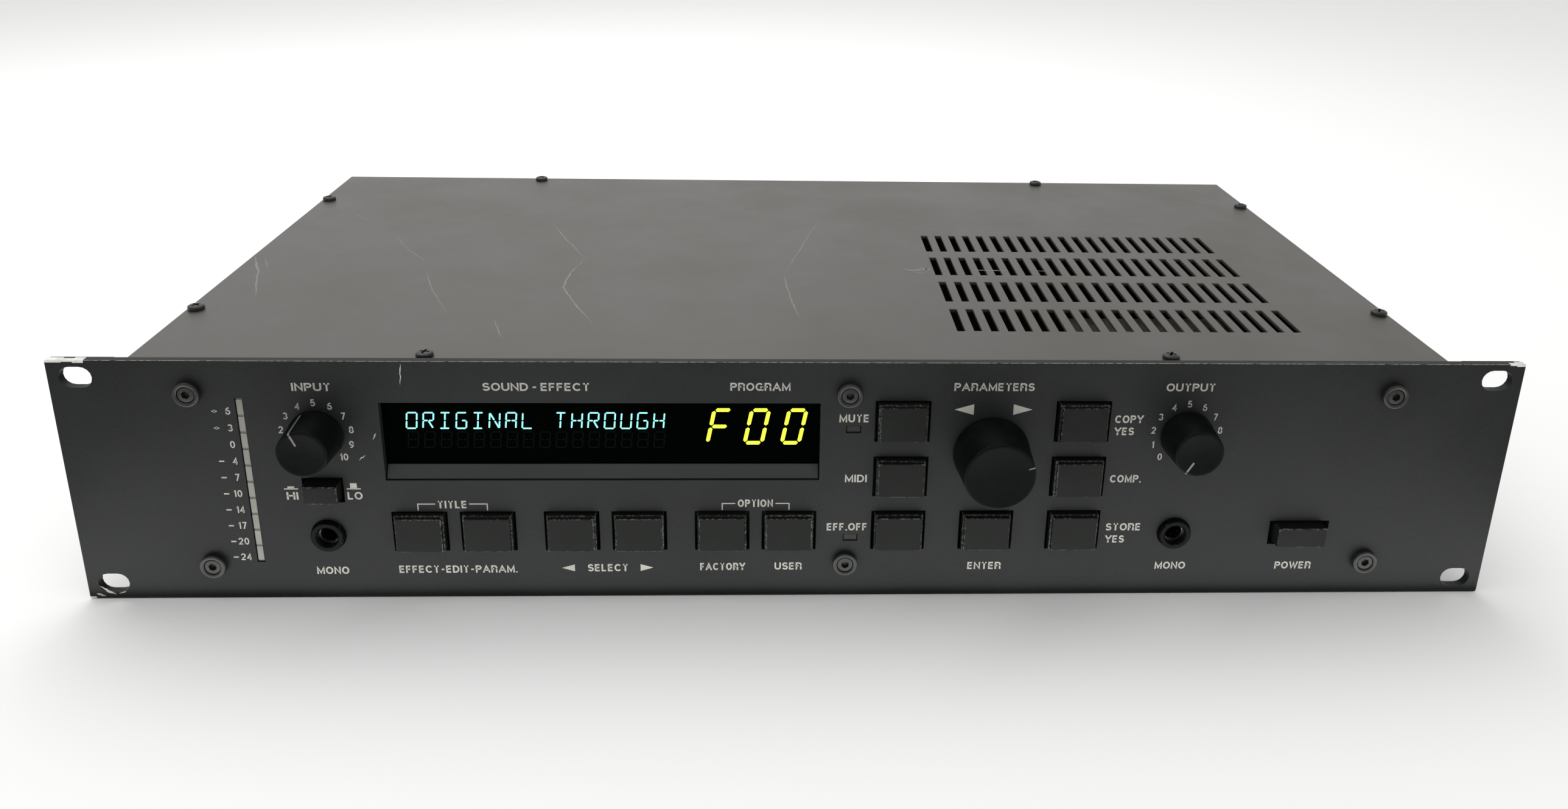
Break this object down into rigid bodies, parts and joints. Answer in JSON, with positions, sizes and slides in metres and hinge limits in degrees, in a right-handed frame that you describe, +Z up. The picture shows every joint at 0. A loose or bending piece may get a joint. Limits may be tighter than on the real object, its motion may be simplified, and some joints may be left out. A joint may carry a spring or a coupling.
{
  "type": "rack effects unit",
  "caption": "Rack-mount audio effects processor with a wide front panel, display, push keys, rotary knobs, jacks and a vented sheet-metal case.",
  "frame": {"origin": "middle of the underside of the whole unit's box, knobs and rear fuse cap included", "axes": "+X to the right seen from the front, +Y from the front panel towards the rear, +Z up"},
  "size_m": [0.4826, 0.2578, 0.0881],
  "materials": {
    "panel_paint": "satin black paint on aluminium",
    "case_paint": "satin charcoal paint on sheet steel",
    "zinc_steel": "zinc plated sheet steel",
    "black_plastic": "moulded black plastic",
    "knob_plastic": "moulded black plastic, satin gloss",
    "smoked_acrylic": "smoked acrylic",
    "display_glass": "dark display glass",
    "meter_lens": "pale diffusing lens",
    "lamp_lens": "dark lamp lens",
    "black_steel": "blackened steel",
    "circuit_board": "green circuit board",
    "core_steel": "varnished laminated steel",
    "shaft_metal": "bare metal"
  },
  "bodies": {
    "chassis": {"front_panel": "panel_paint", "top_cover": "case_paint", "bottom_cover": "case_paint", "rear_panel": "case_paint", "side_plate_left": "zinc_steel", "side_plate_right": "zinc_steel", "display_window": "smoked_acrylic", "display_bezel": "black_plastic", "text_display": "display_glass", "program_display": "display_glass", "range_switch": "black_plastic", "power_switch": "black_plastic", "input_potentiometer": "zinc_steel", "output_potentiometer": "zinc_steel", "parameter_encoder": "zinc_steel", "input_jack": "black_plastic", "output_jack": "black_plastic", "level_meter": "meter_lens", "effect_off_lamp": "lamp_lens", "mute_lamp": "lamp_lens", "control_board": "circuit_board", "main_board": "circuit_board", "mains_transformer": "core_steel", "rear_output_right_jack": "black_plastic", "rear_output_left_jack": "black_plastic", "rear_input_right_jack": "black_plastic", "rear_input_left_jack": "black_plastic", "midi_in_socket": "black_plastic", "midi_out_socket": "black_plastic", "mains_inlet": "black_plastic", "fuse_holder": "black_plastic", "panel_screw_left_bottom": "black_steel", "panel_screw_left_top": "black_steel", "panel_screw_middle_bottom": "black_steel", "panel_screw_middle_top": "black_steel", "panel_screw_right_bottom": "black_steel", "panel_screw_right_top": "black_steel"},
    "edit_effect_key": {"edit_effect_key": "black_plastic"},
    "edit_param_key": {"edit_param_key": "black_plastic"},
    "select_left_key": {"select_left_key": "black_plastic"},
    "select_right_key": {"select_right_key": "black_plastic"},
    "factory_key": {"factory_key": "black_plastic"},
    "user_key": {"user_key": "black_plastic"},
    "effect_off_key": {"effect_off_key": "black_plastic"},
    "store_key": {"store_key": "black_plastic"},
    "midi_key": {"midi_key": "black_plastic"},
    "compare_key": {"compare_key": "black_plastic"},
    "mute_key": {"mute_key": "black_plastic"},
    "copy_key": {"copy_key": "black_plastic"},
    "enter_key": {"enter_key": "black_plastic"},
    "range_button": {"range_button": "black_plastic"},
    "power_button": {"power_button": "black_plastic"},
    "input_knob": {"input_knob": "knob_plastic", "input_shaft": "shaft_metal"},
    "output_knob": {"output_knob": "knob_plastic", "output_shaft": "shaft_metal"},
    "parameter_knob": {"parameter_knob": "knob_plastic", "parameter_shaft": "shaft_metal"}
  },
  "joints": [
    {"name": "edit_effect_key_press", "type": "slide", "parent": "chassis", "child": "edit_effect_key", "axis": [0, 1, 0], "range_m": [0, 0.0012], "stiffness_N_per_m": 200},
    {"name": "edit_param_key_press", "type": "slide", "parent": "chassis", "child": "edit_param_key", "axis": [0, 1, 0], "range_m": [0, 0.0012], "stiffness_N_per_m": 200},
    {"name": "select_left_key_press", "type": "slide", "parent": "chassis", "child": "select_left_key", "axis": [0, 1, 0], "range_m": [0, 0.0012], "stiffness_N_per_m": 200},
    {"name": "select_right_key_press", "type": "slide", "parent": "chassis", "child": "select_right_key", "axis": [0, 1, 0], "range_m": [0, 0.0012], "stiffness_N_per_m": 200},
    {"name": "factory_key_press", "type": "slide", "parent": "chassis", "child": "factory_key", "axis": [0, 1, 0], "range_m": [0, 0.0012], "stiffness_N_per_m": 200},
    {"name": "user_key_press", "type": "slide", "parent": "chassis", "child": "user_key", "axis": [0, 1, 0], "range_m": [0, 0.0012], "stiffness_N_per_m": 200},
    {"name": "effect_off_key_press", "type": "slide", "parent": "chassis", "child": "effect_off_key", "axis": [0, 1, 0], "range_m": [0, 0.0012], "stiffness_N_per_m": 200},
    {"name": "store_key_press", "type": "slide", "parent": "chassis", "child": "store_key", "axis": [0, 1, 0], "range_m": [0, 0.0012], "stiffness_N_per_m": 200},
    {"name": "midi_key_press", "type": "slide", "parent": "chassis", "child": "midi_key", "axis": [0, 1, 0], "range_m": [0, 0.0012], "stiffness_N_per_m": 200},
    {"name": "compare_key_press", "type": "slide", "parent": "chassis", "child": "compare_key", "axis": [0, 1, 0], "range_m": [0, 0.0012], "stiffness_N_per_m": 200},
    {"name": "mute_key_press", "type": "slide", "parent": "chassis", "child": "mute_key", "axis": [0, 1, 0], "range_m": [0, 0.0012], "stiffness_N_per_m": 200},
    {"name": "copy_key_press", "type": "slide", "parent": "chassis", "child": "copy_key", "axis": [0, 1, 0], "range_m": [0, 0.0012], "stiffness_N_per_m": 200},
    {"name": "enter_key_press", "type": "slide", "parent": "chassis", "child": "enter_key", "axis": [0, 1, 0], "range_m": [0, 0.0012], "stiffness_N_per_m": 200},
    {"name": "range_button_latch", "type": "slide", "parent": "chassis", "child": "range_button", "axis": [0, 1, 0], "range_m": [0, 0.003]},
    {"name": "power_button_latch", "type": "slide", "parent": "chassis", "child": "power_button", "axis": [0, 1, 0], "range_m": [-0.003, 0]},
    {"name": "input_knob_turn", "type": "hinge", "parent": "chassis", "child": "input_knob", "pos_m": [-0.1589, -0.1111, 0.0619], "axis": [0, 1, 0], "range_deg": [-126, 174]},
    {"name": "output_knob_turn", "type": "hinge", "parent": "chassis", "child": "output_knob", "pos_m": [0.1293, -0.1111, 0.0619], "axis": [0, 1, 0], "range_deg": [0, 300]},
    {"name": "parameter_knob_turn", "type": "hinge", "parent": "chassis", "child": "parameter_knob", "pos_m": [0.0635, -0.1111, 0.0557], "axis": [0, 1, 0], "continuous": true}
  ]
}
